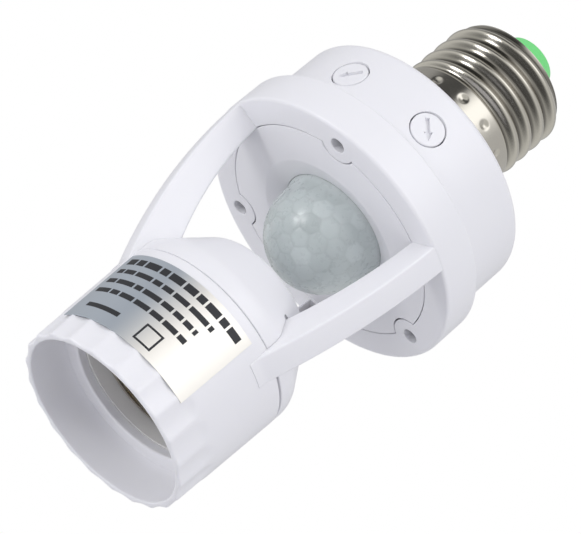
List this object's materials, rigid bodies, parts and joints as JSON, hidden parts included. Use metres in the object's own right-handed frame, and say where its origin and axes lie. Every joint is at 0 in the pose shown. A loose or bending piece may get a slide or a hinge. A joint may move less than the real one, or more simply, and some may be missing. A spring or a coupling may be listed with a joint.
{
  "type": "motion sensor lamp holder",
  "caption": "Screw-in lamp holder with a round motion sensor drum, domed lens, two setting knobs and a lamp socket carried on slim arms.",
  "frame": {"origin": "centre of the socket's mouth rim, in the rim plane", "axes": "+Z along the holder's axis from the socket mouth to the screw cap; +Y through one of the three arms; the knobs face mostly -Y"},
  "size_m": [0.0568, 0.0568, 0.1167],
  "materials": {
    "white_plastic": "satin white moulded plastic",
    "lens_plastic": "translucent milky moulded plastic",
    "screw_steel": "zinc plated",
    "blue_plastic": "moulded",
    "board": "paper laminate",
    "black_plastic": "moulded",
    "cell_ceramic": "lacquered ceramic",
    "yellow_plastic": "moulded",
    "resistor_body": "lacquered",
    "nickel": "nickel plated sheet",
    "green_insulator": "green thermoset",
    "brown_wire": "wire insulation",
    "blue_wire": "wire insulation",
    "insulating_body": "thermoset moulding",
    "brass_strip": "stamped brass",
    "foil": "satin foil"
  },
  "bodies": {
    "holder": {"arm_frame": "white_plastic", "rear_housing": "white_plastic", "sensor_plate": "white_plastic", "lens_dome": "lens_plastic", "lens_clamp": "white_plastic", "frame_screws": "screw_steel", "time_trimmer": "blue_plastic", "lux_trimmer": "blue_plastic", "circuit_board": "board", "pir_sensor": "screw_steel", "pir_holder": "black_plastic", "light_cell": "cell_ceramic", "control_chip": "black_plastic", "relay": "blue_plastic", "film_capacitor": "yellow_plastic", "smoothing_capacitor": "black_plastic", "bridge_rectifier": "black_plastic", "dropper_resistor": "resistor_body", "cap_shell": "nickel", "cap_insulator": "green_insulator", "cap_contact": "nickel", "cap_live_wire": "brown_wire", "cap_neutral_wire": "blue_wire", "socket_rear_cap": "white_plastic", "socket_base": "insulating_body", "socket_shell": "nickel", "socket_tongue": "brass_strip", "tongue_rivet": "brass_strip", "shell_rivet": "brass_strip", "lamp_live_wire": "brown_wire", "lamp_neutral_wire": "blue_wire", "rating_label": "foil"},
    "time_dial": {"time_knob": "white_plastic"},
    "lux_dial": {"lux_knob": "white_plastic"}
  },
  "joints": [
    {"name": "time_turn", "type": "hinge", "parent": "holder", "child": "time_dial", "pos_m": [0.00889, -0.02443, 0.0725], "axis": [0.342, -0.9397, 0], "range_deg": [-105, 105]},
    {"name": "lux_turn", "type": "hinge", "parent": "holder", "child": "lux_dial", "pos_m": [-0.00945, -0.02422, 0.0725], "axis": [-0.3633, -0.9317, 0], "range_deg": [-105, 105]}
  ]
}
